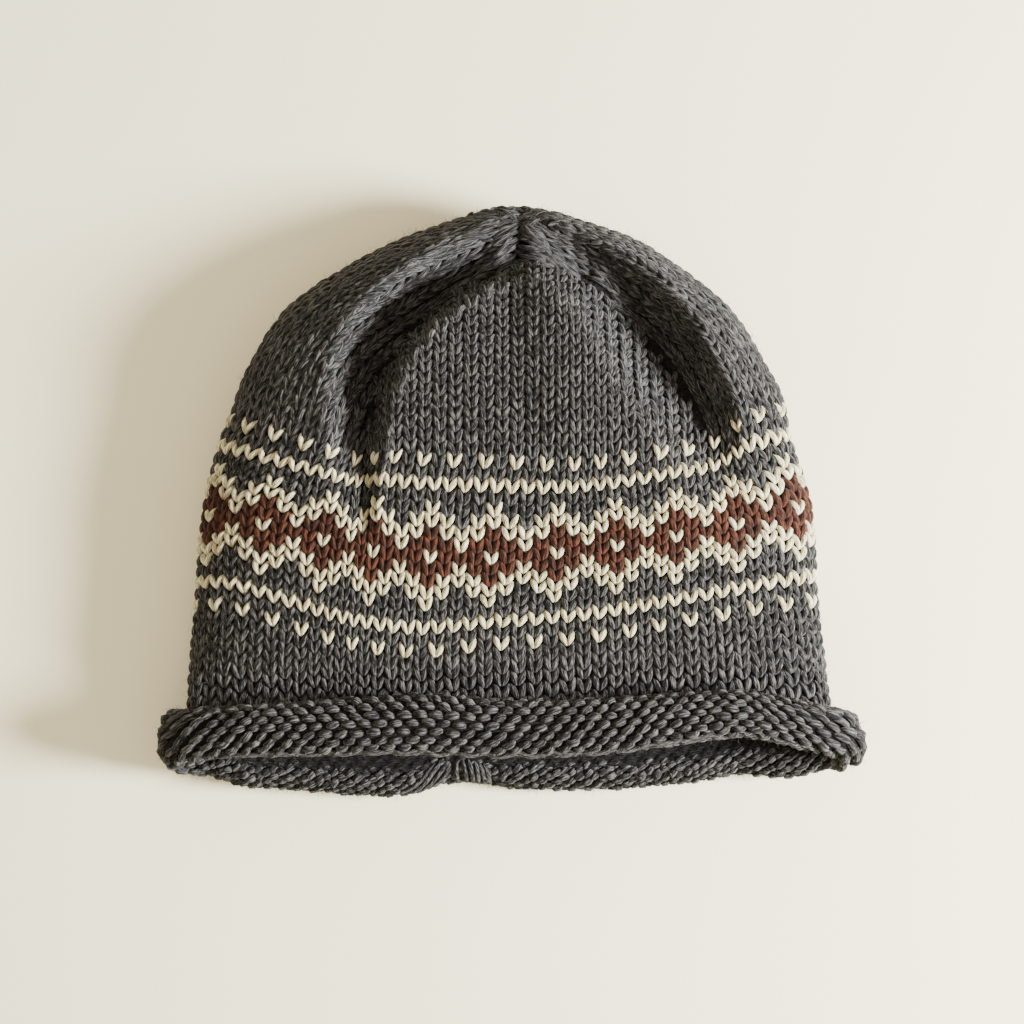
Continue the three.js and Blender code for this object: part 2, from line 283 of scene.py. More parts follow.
GRID_ROWS = np.arange(0, ROWS + GRID_STEP / 2, GRID_STEP)
GRID_SHARES = np.arange(0, 1, 1 / (STITCHES * GRID_PER_STITCH))
FACE = face_points(GRID_SHARES, GRID_ROWS)
print("surface points:", FACE.shape, "lowest and highest:", FACE[..., 2].min(), FACE[..., 2].max())


def on_face(share, row):
    """Points of the outer face, read from the grid between its places."""
    share = np.asarray(share, float) % 1 * len(GRID_SHARES)
    row = np.clip(np.asarray(row, float), 0, ROWS) / GRID_STEP
    i = np.minimum(row.astype(int), len(GRID_ROWS) - 2)
    j = share.astype(int) % len(GRID_SHARES)
    k = (j + 1) % len(GRID_SHARES)
    u = (share - np.floor(share))[..., None]
    v = (row - i)[..., None]
    low = FACE[i, j] * (1 - u) + FACE[i, k] * u
    high = FACE[i + 1, j] * (1 - u) + FACE[i + 1, k] * u
    return low * (1 - v) + high * v


def unit(vectors):
    """Vectors made one long."""
    return vectors / np.maximum(np.linalg.norm(vectors, axis=-1, keepdims=True), 1e-9)


FEEL_ROWS, FEEL_SHARE = 0.35, 0.4 / STITCHES
LAST_OUTWARD = ROWS - 0.6


def outward(share, row):
    """The direction straight out of the cloth, felt from a little before to a little past."""
    row = np.minimum(row, LAST_OUTWARD)
    along = on_face(share, row + FEEL_ROWS) - on_face(share, row - FEEL_ROWS)
    round_ = on_face(share + FEEL_SHARE, row) - on_face(share - FEEL_SHARE, row)
    return unit(np.cross(along, round_))


print("straight out of the middle of the back:", outward(np.array([0.75]), np.array([20.0])).round(2))

# %% [markdown]
# ## Where the roll begins
# The edge of stockinette curls by itself towards its knitted face. The cloth is followed
# down to the line where it starts to turn: further up on the front than underneath. The
# table says where the roll's middle lies and how big it is, from the left fold at -1 to the
# right fold at 1, for the upper side and for the side that lies down.

# %% The line where the cloth starts to roll
ROLL_COLUMNS = ("across", "front_y", "front_long", "back_y", "back_long")
ROLLS = (
    (-1, -78.2, 12.2, -78.2, 12.2),
    (-0.96, -77.2, 11.5, -85.4, 8.5),
    (-0.86, -76.2, 10.9, -88.4, 6.8),
    (-0.66, -75.2, 11.2, -90.2, 6.4),
    (-0.45, -74.3, 11.8, -92.0, 6.4),
    (-0.29, -73.8, 12.3, -91.0, 6.4),
    (-0.21, -73.9, 12.3, -88.2, 6.4),
    (-0.11, -74.3, 12.0, -88.7, 6.2),
    (0.02, -74.7, 11.8, -89.7, 6.4),
    (0.3, -73.9, 11.4, -89.8, 6.4),
    (0.58, -71.6, 10.7, -87.5, 6.4),
    (0.7, -71.2, 10.0, -85.1, 6.3),
    (0.88, -74.2, 10.3, -85.6, 7.6),
    (0.96, -76.4, 10.8, -83.6, 8.6),
    (1, -78.6, 11.4, -78.6, 11.4),
)


def roll_at(shares, key):
    """A column of the roll table, a share of the way round."""
    across, _, _, front = round_places(section_at(0), shares % 1)
    table = dict(zip(ROLL_COLUMNS, zip(*ROLLS)))
    return np.where(front, smooth(table["across"], table["front_" + key], across),
                    smooth(table["across"], table["back_" + key], across))


def lip_rows(shares):
    """The knitted row at which the cloth starts to roll, a share of the way round."""
    lip = roll_at(shares, "y")
    row = np.zeros_like(shares)
    for _ in range(4):
        row += (lip - on_face(shares, row)[..., 1]) / ROW
    return np.maximum(row, 0)


def wall_row(share, row):
    """Rows of the plain wall, spread evenly from the roll up to the band."""
    lip = lip_rows(share)
    return np.where(row < BAND_ROWS[0], lip + row * (1 - lip / BAND_ROWS[0]), row)


print("rows hidden in the roll at the front:", lip_rows(np.array([0.25])).round(2))

# %% [markdown]
# ## Cloth pulled a little askew
# Loops never lie in perfectly even columns: where the hat was laid down and patted flat they
# are pushed together or pulled apart. The table says by how much, in stitches to the left and
# in rows towards the brim, for every few stitches of the front, low on the band, in its
# middle and at its top. The underside lies undisturbed.

# %% How the stitches are pulled
PULL_COLUMNS = ("stitch", "low", "low_down", "middle", "middle_down", "high", "high_down")
PULLS = (
    (-2, 0, 0, 0, 0, 0, 0),
    (1, -0.2, 0.05, -0.6, 0.05, -0.25, -0.2),
    (4, 0.15, 0.15, 0, 0.4, 0.2, -0.4),
    (7, 0.4, 0.26, 0.33, 0.6, -0.4, 0.62),
    (10, 0.6, 0.33, 0.36, 0.56, -0.5, 0.84),
    (14, 0.5, 0.45, 0.27, 0.47, -0.12, 1.1),
    (18, 0.62, 0.3, 0.22, 0.42, -0.38, 1.04),
    (22, 0.9, 0.1, 0.54, 0.45, -0.15, 0.6),
    (26, 1.05, 0.5, 0.55, 0.37, 0.25, 0.55),
    (30, 0.7, 0.35, 0.3, 0.44, 0.25, 0.5),
    (33, 0.07, 0.16, -0.3, 0.35, -1, 0.8),
    (36, -0.2, -0.05, -0.4, 0.2, -1.2, 0.5),
    (40, -0.1, -0.25, 0, 0.25, -0.6, -0.05),
    (44, 0.1, 0, 0.1, 0.2, 0, 0),
    (47, 0, 0, 0, 0, 0, 0),
    (86, 0, 0, 0, 0, 0, 0),
)
PULL_ROWS = {"low": 11.5, "middle": 19.5, "high": 27.5}
PULL_ENDS = 46


def pulled(share, row):
    """Where the stitch that belongs at a share of the way round and a row really lies."""
    number = (share * STITCHES + 1.5) % STITCHES - 2
    table = dict(zip(PULL_COLUMNS, zip(*PULLS)))
    aside = [smooth(table["stitch"], table[key], number) for key in PULL_ROWS]
    down = [smooth(table["stitch"], table[key + "_down"], number) for key in PULL_ROWS]
    low, middle, high = PULL_ROWS.values()
    up = np.clip((row - low) / (middle - low), 0, 1)
    top = np.clip((row - middle) / (high - middle), 0, 1)
    kept = np.clip((PULL_ENDS - row) / (PULL_ENDS - high), 0, 1)
    aside, down = ((low_ * (1 - up) + middle_ * (up - top) + high_ * top) * kept
                   for low_, middle_, high_ in (aside, down))
    return share + aside / STITCHES, row - down * np.clip(row / low, 0, 1)


print("largest pull:", max(max(map(abs, row[1:])) for row in PULLS), "of a stitch")

# %% [markdown]
# ## Helpers for meshes, node trees and colours
# A mesh is made from a grid of points. One small function adds a node with its settings and
# links, and another turns an sRGB hex colour into the linear numbers that a shader wants.

# %% Helpers


def new_object(name, vertices, faces=(), material=None, edges=()):
    """A mesh object at the origin, smooth shaded, from points in millimetres."""
    mesh = bpy.data.meshes.new(name)
    mesh.from_pydata((np.asarray(vertices) * MM).tolist(), edges, faces)
    mesh.update()
    mesh.shade_smooth()
    if material:
        mesh.materials.append(material)
    thing = bpy.data.objects.new(name, mesh)
    bpy.context.scene.collection.objects.link(thing)
    return thing


def give_values(thing, kind, field, **columns):
    """Named values on a mesh's points, which a node tree or a material can read."""
    for key, values in columns.items():
        layer = thing.data.attributes.new(key, kind, "POINT")
        layer.data.foreach_set(field, np.ascontiguousarray(values, dtype=np.float32).ravel())


def ring_faces(rings, count, closed_path=False):
    """Faces between rings of points that all run the same way round."""
    faces = []
    for i in range(rings if closed_path else rings - 1):
        n = (i + 1) % rings
        for j in range(count):
            k = (j + 1) % count
            faces.append((i * count + j, n * count + j, n * count + k, i * count + k))
    return faces


def map_rings(thing, rows, count):
    """The map knit on a mesh of rings: one unit is one stitch across, and one row up."""
    layer = thing.data.uv_layers.new(name="knit")
    places = np.zeros((len(thing.data.loops), 2), dtype=np.float32)
    for i in range(len(rows)):
        low, high = rows[i], rows[(i + 1) % len(rows)]
        start = i * count * 4
        if start + count * 4 > len(places):
            break
        part = places[start:start + count * 4].reshape(count, 4, 2)
        part[:, :, 1] = (low, high, high, low)
        left = np.arange(count) * STITCHES / count
        part[:, :, 0] = np.stack([left, left, left + STITCHES / count, left + STITCHES / count], 1)
    layer.data.foreach_set("uv", places.ravel())


def add_node(tree, kind, settings=None, **links):
    """One node: settings are its properties, links fill its inputs by name or number."""
    node = tree.nodes.new(kind)
    for key, value in (settings or {}).items():
        setattr(node, key, value)
    for key, value in links.items():
        name = key.replace("_", " ")
        socket = node.inputs[int(key[1:])] if key[1:].isdigit() else node.inputs[name]
        if isinstance(value, bpy.types.NodeSocket):
            tree.links.new(value, socket)
        else:
            socket.default_value = value
    return node


def colour(hex_value):
    """Linear colour numbers from an sRGB hex value."""
    parts = [int(hex_value[i:i + 2], 16) / 255 for i in (1, 3, 5)]
    return [p / 12.92 if p <= 0.04045 else ((p + 0.055) / 1.055) ** 2.4 for p in parts] + [1.0]


print("helpers ready")

# %% [markdown]
# ## Camera, table and light
# The photograph looks almost straight down, so the camera stands high over the brim's side.
# Its lens is worked out so that the picture is 341 mm wide at the height of the side folds.
# One soft lamp stands low on the right, which throws the long pale shadow to the left, and a
# plain warm sky, brighter overhead and a little brighter on the left, fills in the rest.

# %% Camera
PICTURE_WIDTH = 341.3
LOOK_AT = (0.0, -4.0, 18.0)
CAMERA_DISTANCE = 820.0
CAMERA_ELEVATION = math.radians(84)

camera_data = bpy.data.cameras.new("camera")
camera_data.sensor_width = 36
camera_data.lens = camera_data.sensor_width * CAMERA_DISTANCE / PICTURE_WIDTH
camera = bpy.data.objects.new("camera", camera_data)
away = Vector((0, -math.cos(CAMERA_ELEVATION), math.sin(CAMERA_ELEVATION)))
camera.location = (Vector(LOOK_AT) + away * CAMERA_DISTANCE) * MM
camera.rotation_euler = (math.pi / 2 - CAMERA_ELEVATION, 0, 0)
bpy.context.scene.collection.objects.link(camera)
bpy.context.scene.camera = camera
print("lens", round(camera_data.lens, 1), "mm at", CAMERA_DISTANCE, "mm")

# %% Table and light
TABLE_SIZE = 6000.0
LAMP_TURN, LAMP_HEIGHT = math.radians(-9), math.radians(27)
LAMP_DISTANCE, LAMP_SIZE, LAMP_POWER = 1.05, 0.34, 72.0
SKY_LOW, SKY_HIGH, SKY_LEFT = 0.45, 1.45, 0.3
MOTTLE_PER_METRE = 14.0

table_material = bpy.data.materials.new("painted_board")
table_material.use_nodes = True
tree = table_material.node_tree
board = tree.nodes["Principled BSDF"]
board.inputs["Roughness"].default_value = 0.85
place = add_node(tree, "ShaderNodeTexCoord").outputs["Object"]
mottle = add_node(tree, "ShaderNodeTexNoise", Vector=place, Scale=MOTTLE_PER_METRE, Detail=3.0)
tone = add_node(tree, "ShaderNodeMix", {"data_type": "RGBA"}, i0=mottle.outputs[0],
                i6=colour("#f8eec6"), i7=colour("#fbf2cd"))
tree.links.new(tone.outputs[2], board.inputs["Base Color"])
half = TABLE_SIZE / 2
floor = new_object("table", [(-half, -half, 0), (half, -half, 0), (half, half, 0),
                             (-half, half, 0)], [(0, 1, 2, 3)], table_material)

lamp_data = bpy.data.lights.new("window", "AREA")
lamp_data.shape = "DISK"
lamp_data.size = LAMP_SIZE
lamp_data.energy = LAMP_POWER
lamp_data.color = (0.94, 0.97, 1.0)
lamp = bpy.data.objects.new("window", lamp_data)
lamp_way = Vector((math.cos(LAMP_HEIGHT) * math.cos(LAMP_TURN),
                   math.cos(LAMP_HEIGHT) * math.sin(LAMP_TURN), math.sin(LAMP_HEIGHT)))
lamp.location = lamp_way * LAMP_DISTANCE
lamp.rotation_euler = lamp_way.to_track_quat("Z", "Y").to_euler()
bpy.context.scene.collection.objects.link(lamp)

sky = bpy.data.worlds.new("room")
sky.use_nodes = True
tree = sky.node_tree
way = add_node(tree, "ShaderNodeSeparateXYZ",
               Vector=add_node(tree, "ShaderNodeTexCoord").outputs["Generated"]).outputs
height = add_node(tree, "ShaderNodeMapRange", Value=way["Z"], i3=SKY_LOW, i4=SKY_HIGH).outputs[0]
brightness = add_node(tree, "ShaderNodeMath", {"operation": "MULTIPLY_ADD"}, i0=way["X"],
                      i1=-SKY_LEFT, i2=height)
tree.nodes["Background"].inputs["Color"].default_value = (1.0, 0.9, 0.74, 1)
tree.links.new(brightness.outputs[0], tree.nodes["Background"].inputs["Strength"])
bpy.context.scene.world = sky
print("lamp", LAMP_POWER, "W, sky", SKY_LOW, "to", SKY_HIGH, "and", SKY_LEFT, "more on the left")

# %% [markdown]
# ## The wool
# Worsted wool is matt and a little hairy. Each strand shows fine fibres that run along it,
# so the pattern is drawn in the strand's own coordinates, which the loops carry with them:
# the attribute ring is the place round the strand, along the place from end to end, and loop
# a number of its own for each loop. Heather wool is spun from light and dark fibres together:
# a streaky noise, stretched along the strand and twisted round it, picks the fibre's colour.
# The many small fibres scatter the light, so the yarn has no shine, only a faint pale edge.
# Real fibres are far too thin to show here, so they are drawn as streaks a third of a
# millimetre wide.

# %% Wool material
FIBRES_ROUND = 3.0
FIBRE_RUNS = 3.0
TWIST = 1.3
STREAK_TONES = (0.39, 0.5, 0.63)
STREAK_SHIFT = 31.0
LOOP_LIGHTNESS = (0.88, 1.1)
STREAK_HEIGHT = 0.5 * MM


def wool(name, dark, middle, light, sheen):
    """Matt wool yarn in three fibre colours."""
    material = bpy.data.materials.new(name)
    material.use_nodes = True
    tree = material.node_tree
    shader = tree.nodes["Principled BSDF"]
    shader.inputs["Roughness"].default_value = 0.92
    shader.inputs["Sheen Weight"].default_value = sheen
    shader.inputs["Sheen Roughness"].default_value = 0.6
    shader.inputs["Specular IOR Level"].default_value = 0.15
    along, ring, loop = (add_node(tree, "ShaderNodeAttribute", {"attribute_name": name})
                         for name in ("along", "ring", "loop"))
    turn = add_node(tree, "ShaderNodeMath", {"operation": "MULTIPLY_ADD"},
                    i0=along.outputs["Fac"], i1=TWIST, i2=loop.outputs["Fac"]).outputs[0]
    twisted = add_node(tree, "ShaderNodeVectorRotate", {"rotation_type": "Z_AXIS"},
                       Vector=ring.outputs["Vector"], Angle=turn).outputs[0]
    run = add_node(tree, "ShaderNodeMath", {"operation": "MULTIPLY_ADD"},
                   i0=along.outputs["Fac"], i1=FIBRE_RUNS / FIBRES_ROUND, i2=0.0).outputs[0]
    shift = add_node(tree, "ShaderNodeMath", {"operation": "MULTIPLY_ADD"},
                     i0=loop.outputs["Fac"], i1=STREAK_SHIFT, i2=run).outputs[0]
    spot = add_node(tree, "ShaderNodeCombineXYZ", Z=shift).outputs[0]
    spot = add_node(tree, "ShaderNodeVectorMath", {"operation": "ADD"}, i0=twisted,
                    i1=spot).outputs[0]
    fibre = add_node(tree, "ShaderNodeTexNoise", Vector=spot, Scale=FIBRES_ROUND, Detail=3.0,
                     Roughness=0.65).outputs[0]
    ramp = add_node(tree, "ShaderNodeValToRGB", Fac=fibre)
    stops = ramp.color_ramp.elements
    stops[0].position, stops[1].position = STREAK_TONES[0], STREAK_TONES[2]
    stops[0].color, stops[1].color = colour(dark), colour(light)
    stops.new(STREAK_TONES[1]).color = colour(middle)
    lightness = add_node(tree, "ShaderNodeMapRange", Value=loop.outputs["Fac"],
                         i3=LOOP_LIGHTNESS[0], i4=LOOP_LIGHTNESS[1]).outputs[0]
    tinted = add_node(tree, "ShaderNodeMix", {"data_type": "RGBA", "blend_type": "MULTIPLY"},
                      i0=1.0, i6=ramp.outputs[0], i7=lightness).outputs[2]
    tree.links.new(tinted, shader.inputs["Base Color"])
    bump = add_node(tree, "ShaderNodeBump", Strength=0.8, Distance=STREAK_HEIGHT, Height=fibre)
    tree.links.new(bump.outputs[0], shader.inputs["Normal"])
    return material


CHARCOAL = wool("charcoal_heather_worsted", "#0b0a0a", "#1c1a18", "#605e5a", 0.06)
CREAM = wool("cream_worsted", "#756a4a", "#c3b892", "#e9e1c4", 0.05)
RUST = wool("rust_brown_worsted", "#160904", "#30170d", "#5a301c", 0.05)
print("wools:", CHARCOAL.name, CREAM.name, RUST.name)

# %% [markdown]
# ## The wrong side of the knitting
# Inside the hat the same loops show their backs, which are rows of small arcs. They are seen
# only through the opening and between the loops outside, so they are drawn as bumps in a
# material. It reads the cloth's own map, in which one unit across is one stitch and one unit
# up is one row. Its colours are darker than the charcoal yarn: painted shade for the gaps
# between the loops and for the inside of the hat.

# %% Material for the wrong side
ARC_HEIGHT = 0.14
PURL_STREAKS = (2.0, 7.0, 1.0)
PURL_TONES = (0.35, 0.72)
PURL_HEIGHT = 0.8 * MM


def wrong_side():
    """Charcoal cloth with the small arcs of the purl side, darker than the yarn as painted shade."""
    material = bpy.data.materials.new("charcoal_purl_side")
    material.use_nodes = True
    tree = material.node_tree
    shader = tree.nodes["Principled BSDF"]
    shader.inputs["Roughness"].default_value = 0.95
    shader.inputs["Specular IOR Level"].default_value = 0.1
    knit = add_node(tree, "ShaderNodeUVMap", {"uv_map": "knit"}).outputs[0]
    parts = add_node(tree, "ShaderNodeSeparateXYZ", Vector=knit)
    across = add_node(tree, "ShaderNodeMath", {"operation": "MULTIPLY"}, i0=parts.outputs[0],
                      i1=2 * math.pi).outputs[0]
    arc = add_node(tree, "ShaderNodeMath", {"operation": "SINE"}, i0=across).outputs[0]
    lifted = add_node(tree, "ShaderNodeMath", {"operation": "MULTIPLY_ADD"}, i0=arc, i1=ARC_HEIGHT,
                      i2=parts.outputs[1]).outputs[0]
    rows = add_node(tree, "ShaderNodeMath", {"operation": "MULTIPLY"}, i0=lifted,
                    i1=2 * math.pi).outputs[0]
    ridge = add_node(tree, "ShaderNodeMath", {"operation": "SINE"}, i0=rows).outputs[0]
    stretched = add_node(tree, "ShaderNodeMapping", Vector=knit, Scale=PURL_STREAKS).outputs[0]
    fibre = add_node(tree, "ShaderNodeTexNoise", Vector=stretched, Scale=1.5, Detail=3.0).outputs[0]
    ramp = add_node(tree, "ShaderNodeValToRGB", Fac=fibre)
    stops = ramp.color_ramp.elements
    stops[0].position, stops[1].position = PURL_TONES
    # These tones are darker than the charcoal yarn's own: painted shade for the gaps between the
    # loops and the inside of the hat.
    stops[0].color, stops[1].color = colour("#060505"), colour("#2b2927")
    tree.links.new(ramp.outputs[0], shader.inputs["Base Color"])
    height = add_node(tree, "ShaderNodeMath", {"operation": "MULTIPLY_ADD"}, i0=ridge, i1=0.5,
                      i2=fibre).outputs[0]
    bump = add_node(tree, "ShaderNodeBump", Strength=1.0, Distance=PURL_HEIGHT, Height=height)
    tree.links.new(bump.outputs[0], shader.inputs["Normal"])
    return material


SHADED_PURL_SIDE = wrong_side()
print("cloth behind the loops:", SHADED_PURL_SIDE.name)

# %% [markdown]
# ## The cloth under the loops
# Behind the loops that show, the cloth is closed: the back of every row fills the gaps with
# yarn, drawn darker than the charcoal as painted shade. It is a plain wall, a little thinner
# than the knitting, one for each solid piece of the hat, so that no light comes through
# between two loops. The solid piece itself could serve, but its triangles carry no map of
# stitches and rows for the wrong side's pattern.

# %% Plain walls behind the loops
CLOTH_SINK = 1.7
CLOTH_COLUMNS = STITCHES * 2
CLOTH_RINGS = 1.5
CLOTH_LIFT = 0.8
CLOTH_LOW, CLOTH_TIP = 0.1, ROWS - 0.9


def wall_points(row, depth):
    """A ring of points at a depth in the cloth."""
    share = np.arange(CLOTH_COLUMNS) / CLOTH_COLUMNS
    knitted = wall_row(share, np.full(CLOTH_COLUMNS, float(row)))
    points = on_face(share, knitted) - outward(share, knitted) * depth
    points[:, 2] = np.maximum(points[:, 2], depth * CLOTH_LIFT)
    return points


def cloth_wall(name, start, end, tip=False):
    """The closed wall between two rows; the tip of the crown is closed by two caps."""
    rows = np.linspace(start, end, int((end - start) * CLOTH_RINGS) + 1)
    outer = [wall_points(row, CLOTH_SINK) for row in rows]
    inner = [wall_points(row, WALL) for row in rows]
    if tip:
        rings, at_rows = inner[::-1] + outer, [*rows[::-1], *rows]
    else:
        rings, at_rows = outer + inner[::-1], [*rows, *rows[::-1]]
    faces = ring_faces(len(rings), CLOTH_COLUMNS, closed_path=not tip)
    if tip:
        count = len(rings) * CLOTH_COLUMNS
        last = count - CLOTH_COLUMNS
        for j in range(CLOTH_COLUMNS):
            k = (j + 1) % CLOTH_COLUMNS
            faces += [(count, j, k), (count + 1, last + k, last + j)]
        rings.append(np.array([inner[-1].mean(axis=0), outer[-1].mean(axis=0)]))
    wall = new_object(name, np.concatenate(rings), faces, SHADED_PURL_SIDE)
    map_rings(wall, at_rows, CLOTH_COLUMNS)
    return wall


crown_cloth = cloth_wall("crown_cloth", BAND_ROWS[1], CLOTH_TIP, tip=True)
band_cloth = cloth_wall("band_cloth", *BAND_ROWS)
wall_cloth = cloth_wall("side_cloth", CLOTH_LOW, BAND_ROWS[0])
print("cloth walls:", [len(o.data.polygons) for o in (crown_cloth, band_cloth, wall_cloth)])

# %% [markdown]
# ## Counting the stitches
# The hat is worked on 88 stitches. On the front of the crown the columns of loops, which a
# knitter calls wales, follow the cloth: on the puffed rim they run along the fold up to the
# tip, on the sunk panel they run straight up, and where the two meet in the valley they are
# knitted together and end. Underneath, the number falls evenly in eight wedges.

# %% Wales of the crown
CHART = ("gcgc", "gggg", "cccc", "gggg", "cggg", "ccgc", "rccc", "rrcr", "crrr",
         "rrcr", "rccc", "ccgc", "cggg", "gggg", "cccc", "gggg", "gcgc")
CHART_SHIFT = 2
SEED = 7
FRONT = STITCHES // 2
TIP_X = 2.7
VALLEY_TOP = 6
WALE_MARGIN = 0.5
PANEL = 100
PANEL_STEPS = 400
NO_WALE = -1
DRAWN_TOGETHER = 0.97
DECREASE_AT = 0.45


def in_panel(points, margin=0.0):
    """True for the points of the front that lie in the sunk panel, inside the valley."""
    x, y = points[..., 0], points[..., 1]
    left, right = VALLEY[:VALLEY_TOP + 1], VALLEY[:VALLEY_TOP - 1:-1]
    left_x = np.interp(y, *zip(*((v[1], v[0]) for v in left)))
    right_x = np.interp(y, *zip(*((v[1], v[0]) for v in right)))
    return (x > left_x - margin) & (x < right_x + margin) & (y < VALLEY[VALLEY_TOP][1] + margin)


WALE_ROWS = np.arange(BAND_ROWS[1] - 1, ROWS + GRID_STEP / 2, GRID_STEP)
WALE_LENGTHS = [half_ring(section_at(row))[1][-1] for row in WALE_ROWS]


def wale_share(number, row):
    """How far round a wale of the front lies in rows of the crown, and whether it is there.
    Numbers from PANEL on are the wales that run straight up the panel."""
    first = BAND_ROWS[1] - 0.5
    inside = number >= PANEL
    number = number % PANEL
    start, _ = pulled((number + 0.5) / STITCHES, np.full(number.shape, first))
    begins = on_face(start, np.full(number.shape, first))
    shrink = np.interp(first, WALE_ROWS, WALE_LENGTHS) / np.interp(row, WALE_ROWS, WALE_LENGTHS)
    rim = np.where(start < 0.25, start * shrink, 0.5 - (0.5 - start) * shrink)
    shares = np.linspace(0.5, 0, PANEL_STEPS)
    panel = np.empty_like(rim)
    for one in np.unique(row):
        here = row == one
        x = on_face(shares, np.full(shares.shape, one))[:, 0]
        panel[here] = np.interp(begins[here, 0], x, shares)
    share = np.where(inside, panel, rim)
    points = on_face(share, row)
    left_side = np.where(start > 0.25, points[:, 0] < TIP_X + 1, points[:, 0] > TIP_X - 1)
    lives = np.where(inside, in_panel(points, WALE_MARGIN),
                     ~in_panel(points, -WALE_MARGIN) & left_side)
    return share, lives


def stitches_per_wedge():
    """How many stitches each wedge has in every row."""
    counts = []
    now = STITCHES // WEDGES
    for row in range(ROWS):
        share = np.arange(STITCHES * 4) / (STITCHES * 4)
        ring = on_face(share, np.full(share.shape, row + 0.5))
        length = np.linalg.norm(np.roll(ring, -1, axis=0) - ring, axis=1).sum()
        fits = length / WEDGES / (STITCH_WIDTH * DRAWN_TOGETHER)
        if row >= BAND_ROWS[1] and now > 1 and fits < now - DECREASE_AT:
            now -= 1
        counts.append(now)
    return counts


WEDGE_STITCHES = stitches_per_wedge()
print("per wedge at the tip:", WEDGE_STITCHES[BAND_ROWS[1]:])

# %% Places of the stitches
UNDER_THE_ROLL = 0.3
LAST_ROW = ROWS - 0.2


def wedge_share(row, wedge, number):
    """How far round a stitch's middle lies where the wedges shrink evenly."""
    count = WEDGE_STITCHES[row]
    return (wedge + (min(number, count - 1) + 0.5) / count) / WEDGES


def yarn_of(row, number):
    """The colour of a stitch: g charcoal, c cream, r rust."""
    if not BAND_ROWS[0] <= row < BAND_ROWS[1]:
        return "g"
    line = CHART[BAND_ROWS[1] - 1 - row]
    return line[(number + CHART_SHIFT) % len(line)]


def all_stitches():
    """Rows of numbers: yarn, knitted row, number of the wale or NO_WALE, how far round this
    stitch, the one above and the one below lie, and how wide it is as a share."""
    listed = []
    for row in range(ROWS):
        above, below = min(row + 1, ROWS - 1), max(row - 1, 0)
        wide = 1 / WEDGE_STITCHES[row] / WEDGES
        crown = row >= BAND_ROWS[1]
        for wedge in range(WEDGES // 2 if crown else 0, WEDGES):
            for number in range(WEDGE_STITCHES[row]):
                yarn = "gcr".index(yarn_of(row, wedge * WEDGE_STITCHES[row] + number))
                listed.append((yarn, row, NO_WALE, wedge_share(row, wedge, number),
                               wedge_share(above, wedge, number),
                               wedge_share(below, wedge, number), wide))
        if crown:
            numbers = np.concatenate([np.arange(FRONT), PANEL + np.arange(FRONT)]).astype(float)
            _, lives = wale_share(numbers, np.full(2 * FRONT, row + 0.5))
            listed += [(0, row, n, 0, 0, 0, 1) for n in numbers[lives]]
    return np.array(listed)


LOOPS = all_stitches()
LOOPS = LOOPS[LOOPS[:, 1] + 0.5 > lip_rows(LOOPS[:, 3]) - UNDER_THE_ROLL]


def lie(number, share, row):
    """Where stitches lie: on a wale of the crown's front, or by their share of the round."""
    on_wale = number > NO_WALE / 2
    share, row = pulled(np.where(on_wale, (number % PANEL + 0.5) / STITCHES, share), row)
    if on_wale.any():
        share[on_wale] = wale_share(number[on_wale], row[on_wale])[0]
    return share, row


print("stitches:", len(LOOPS))

# %% [markdown]
# ## One leg of a stitch
# The face of stockinette shows each loop as a V: two plump legs that come up out of the loop
# below, lean outwards and dive behind the next loop. A leg is a short Bezier curve with a
# round profile that is thin at the foot and full near the top. The tree makes one leg from
# its sizes, mirrors it and sets the pair on every point, turned and stretched as that point
# says. It ends with realized loops, because an export knows nothing of instances. The real
# stitch is one endless loop, but the rest of it is hidden, and loops could also be drawn as a
# picture on the cloth, which would look flat from the side.

# %% Writing a node tree


class Tree:
    """A Geometry Nodes tree with named inputs, and a shorter way to add its nodes."""

    def __init__(self, name, inputs):
        self.group = bpy.data.node_groups.new(name, "GeometryNodeTree")
        face = self.group.interface
        face.new_socket("Geometry", in_out="INPUT", socket_type="NodeSocketGeometry")
        for label, value in inputs.items():
            kind = {bool: "Bool", int: "Int", float: "Float", tuple: "Vector"}.get(type(value))
            kind = kind or "Material"
            socket = face.new_socket(label, in_out="INPUT", socket_type="NodeSocket" + kind)
            if value is not None:
                socket.default_value = value
        face.new_socket("Geometry", in_out="OUTPUT", socket_type="NodeSocketGeometry")
        self.inputs = self.group.nodes.new("NodeGroupInput").outputs

    def add(self, kind, settings=None, **links):
        """One node of the tree."""
        return add_node(self.group, kind, settings, **links)

    def math(self, operation, *values):
        """The result of a sum on numbers or sockets."""
        links = {f"i{n}": value for n, value in enumerate(values)}
        return self.add("ShaderNodeMath", {"operation": operation}, **links).outputs[0]

    def named(self, name, kind="FLOAT_VECTOR"):
        """A value that the points carry."""
        return self.add("GeometryNodeInputNamedAttribute", {"data_type": kind},
                        Name=name).outputs[0]

    def store(self, geometry, name, value, domain="POINT", kind="FLOAT"):
        """The geometry with one more named value."""
        return self.add("GeometryNodeStoreNamedAttribute", {"data_type": kind, "domain": domain},
                        Geometry=geometry, Name=name, Value=value).outputs[0]

    def finish(self, geometry):
        """Ends the tree: smooth shaded, and of the wool that its input gives."""
        smooth_ = self.add("GeometryNodeSetShadeSmooth", Geometry=geometry).outputs[0]
        painted = self.add("GeometryNodeSetMaterial", Geometry=smooth_,
                           Material=self.inputs["Wool"]).outputs[0]
        out = self.group.nodes.new("NodeGroupOutput")
        self.group.links.new(painted, out.inputs[0])


print("a tree's ways:", [name for name in vars(Tree) if name[0] != "_"])

# %% Round yarn in a tree


